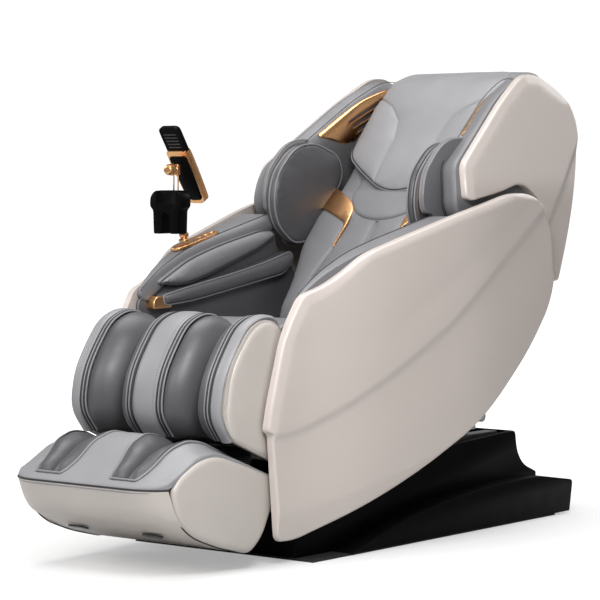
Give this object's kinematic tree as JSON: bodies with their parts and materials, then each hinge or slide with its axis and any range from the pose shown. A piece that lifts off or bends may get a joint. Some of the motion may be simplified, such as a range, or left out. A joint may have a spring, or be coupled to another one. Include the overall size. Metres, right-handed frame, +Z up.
{
  "type": "massage chair",
  "caption": "Zero-gravity massage chair with reclining winged backrest, air-massage arms, lifting calf rest with foot wells, and a remote on a stalk.",
  "frame": {"origin": "on the floor in the plane of symmetry, under the cross strip of the plinth's pad, below the seat", "axes": "+Z up, -Y the way the sitter faces, +X the sitter's left"},
  "size_m": [0.744, 1.5675, 1.1447],
  "materials": {
    "cream_shell": "satin lacquer",
    "black_plastic": "fine texture",
    "grey_leather": "fine grain, stitched and piped",
    "charcoal_leather": "fine grain, stitched and piped",
    "cream_leather": "smooth, stitched",
    "rose_gold": "brushed, anodised",
    "steel": "drawn and welded",
    "rubber": "matt",
    "inner_shell": "moulded"
  },
  "bodies": {
    "base": {"base_plinth": "black_plastic", "base_column": "black_plastic", "floor_pad": "rubber", "base_frame": "steel", "slide_motor": "inner_shell", "power_inlet": "black_plastic"},
    "power_switch": {"power_switch": "rubber"},
    "wheel_left": {"wheel_left": "rubber"},
    "wheel_right": {"wheel_right": "rubber"},
    "carriage": {"seat_carriage": "steel"},
    "seat": {"seat_frame": "steel", "seat_cushion": "grey_leather", "control_box": "inner_shell", "air_pump": "inner_shell", "recline_actuator": "steel", "leg_actuator": "steel", "control_plate": "rose_gold", "arm_shell_left": "cream_shell", "arm_pad_left": "grey_leather", "arm_upper_airbag_left": "grey_leather", "arm_lower_airbag_left": "charcoal_leather", "arm_panel_left": "charcoal_leather", "arm_cap_left": "rose_gold", "arm_shell_right": "cream_shell", "arm_pad_right": "grey_leather", "arm_upper_airbag_right": "grey_leather", "arm_lower_airbag_right": "charcoal_leather", "arm_panel_right": "charcoal_leather", "arm_cap_right": "rose_gold"},
    "recline_rod": {"recline_rod": "steel"},
    "leg_rod": {"leg_rod": "steel"},
    "button_1": {"button_1": "rose_gold"},
    "button_2": {"button_2": "rose_gold"},
    "button_3": {"button_3": "rose_gold"},
    "holder": {"holder_ball": "rose_gold", "holder_cradle": "black_plastic"},
    "holder_mast": {"holder_rods": "rose_gold", "holder_knob": "rose_gold"},
    "remote": {"remote_handset": "black_plastic"},
    "backrest": {"back_frame": "steel", "back_cushion": "grey_leather", "back_cover": "inner_shell", "wing_shell_left": "cream_shell", "wing_pad_left": "grey_leather", "shoulder_airbag_left": "charcoal_leather", "speaker_grille_left": "rose_gold", "wing_shell_right": "cream_shell", "wing_pad_right": "grey_leather", "shoulder_airbag_right": "charcoal_leather", "speaker_grille_right": "rose_gold"},
    "head_pillow": {"head_pillow": "grey_leather"},
    "massage_carriage": {"massage_carriage": "inner_shell"},
    "massage_roller_left": {"massage_roller_left": "rubber"},
    "massage_roller_right": {"massage_roller_right": "rubber"},
    "leg_rest": {"calf_casing": "cream_leather", "calf_pad": "charcoal_leather", "leg_bellows": "rubber"},
    "foot_rest": {"foot_casing": "cream_leather", "foot_pad": "charcoal_leather"},
    "foot_roller": {"foot_roller": "rubber"}
  },
  "joints": [
    {"name": "zero_gravity_slide", "type": "slide", "parent": "base", "child": "carriage", "axis": [0, -1, 0], "range_m": [0, 0.1]},
    {"name": "zero_gravity_tilt", "type": "hinge", "parent": "carriage", "child": "seat", "pos_m": [0, 0.45, 0.285], "axis": [-1, 0, 0], "range_deg": [0, 12]},
    {"name": "backrest_recline", "type": "hinge", "parent": "seat", "child": "backrest", "pos_m": [0, 0.2, 0.45], "axis": [-1, 0, 0], "range_deg": [0, 35]},
    {"name": "recline_rod_slide", "type": "slide", "parent": "seat", "child": "recline_rod", "axis": [0, -1, 0], "range_m": [0, 0.0665]},
    {"name": "leg_rest_lift", "type": "hinge", "parent": "seat", "child": "leg_rest", "pos_m": [0, -0.3, 0.515], "axis": [-1, 0, 0], "range_deg": [0, 65]},
    {"name": "leg_rod_slide", "type": "slide", "parent": "seat", "child": "leg_rod", "axis": [0, -1, 0], "range_m": [0, 0.097]},
    {"name": "foot_rest_extend", "type": "slide", "parent": "leg_rest", "child": "foot_rest", "axis": [0, -0.3947, -0.9188], "range_m": [0, 0.1]},
    {"name": "foot_roller_spin", "type": "hinge", "parent": "foot_rest", "child": "foot_roller", "pos_m": [0, -0.605, 0.132], "axis": [1, 0, 0], "continuous": true},
    {"name": "head_pillow_flip", "type": "hinge", "parent": "backrest", "child": "head_pillow", "pos_m": [0, 0.71815, 1.12914], "axis": [-1, 0, 0], "range_deg": [0, 120]},
    {"name": "massage_travel", "type": "slide", "parent": "backrest", "child": "massage_carriage", "axis": [0, 0.5878, 0.809], "range_m": [0, 0.42]},
    {"name": "massage_roller_left_spin", "type": "hinge", "parent": "massage_carriage", "child": "massage_roller_left", "pos_m": [0.062, 0.3236, 0.58269], "axis": [1, 0, 0], "continuous": true},
    {"name": "massage_roller_right_spin", "type": "hinge", "parent": "massage_carriage", "child": "massage_roller_right", "pos_m": [-0.062, 0.3236, 0.58269], "axis": [1, 0, 0], "continuous": true},
    {"name": "holder_swivel", "type": "hinge", "parent": "seat", "child": "holder", "pos_m": [-0.264, -0.112, 0.732], "axis": [0, 0, 1], "range_deg": [-35, 60]},
    {"name": "holder_mast_height", "type": "slide", "parent": "holder", "child": "holder_mast", "axis": [0, 0, 1], "range_m": [0, 0.04]},
    {"name": "remote_tilt", "type": "hinge", "parent": "holder_mast", "child": "remote", "pos_m": [-0.272, -0.122, 0.893], "axis": [1, 0, 0], "range_deg": [-15, 20]},
    {"name": "power_switch_rock", "type": "hinge", "parent": "base", "child": "power_switch", "pos_m": [0.031, 0.788, 0.047], "axis": [1, 0, 0], "range_deg": [-8, 8]},
    {"name": "wheel_left_spin", "type": "hinge", "parent": "base", "child": "wheel_left", "pos_m": [0.25, 0.766, 0.029], "axis": [1, 0, 0], "continuous": true},
    {"name": "wheel_right_spin", "type": "hinge", "parent": "base", "child": "wheel_right", "pos_m": [-0.25, 0.766, 0.029], "axis": [1, 0, 0], "continuous": true},
    {"name": "button_1_press", "type": "slide", "parent": "seat", "child": "button_1", "axis": [0, 0.2437, -0.9699], "range_m": [0, 0.0015], "stiffness_N_per_m": 600, "springref_m": -0.0008},
    {"name": "button_2_press", "type": "slide", "parent": "seat", "child": "button_2", "axis": [0, 0.2437, -0.9699], "range_m": [0, 0.0015], "stiffness_N_per_m": 600, "springref_m": -0.0008},
    {"name": "button_3_press", "type": "slide", "parent": "seat", "child": "button_3", "axis": [0, 0.2437, -0.9699], "range_m": [0, 0.0015], "stiffness_N_per_m": 600, "springref_m": -0.0008}
  ],
  "couplings": [
    {"joint": "zero_gravity_tilt", "follows": "zero_gravity_slide", "rad_per_m": 2.0944},
    {"joint": "recline_rod_slide", "follows": "backrest_recline", "m_per_rad": 0.108},
    {"joint": "leg_rod_slide", "follows": "leg_rest_lift", "m_per_rad": 0.0852},
    {"joint": "foot_rest_extend", "follows": "leg_rest_lift", "m_per_rad": 0.0881}
  ]
}
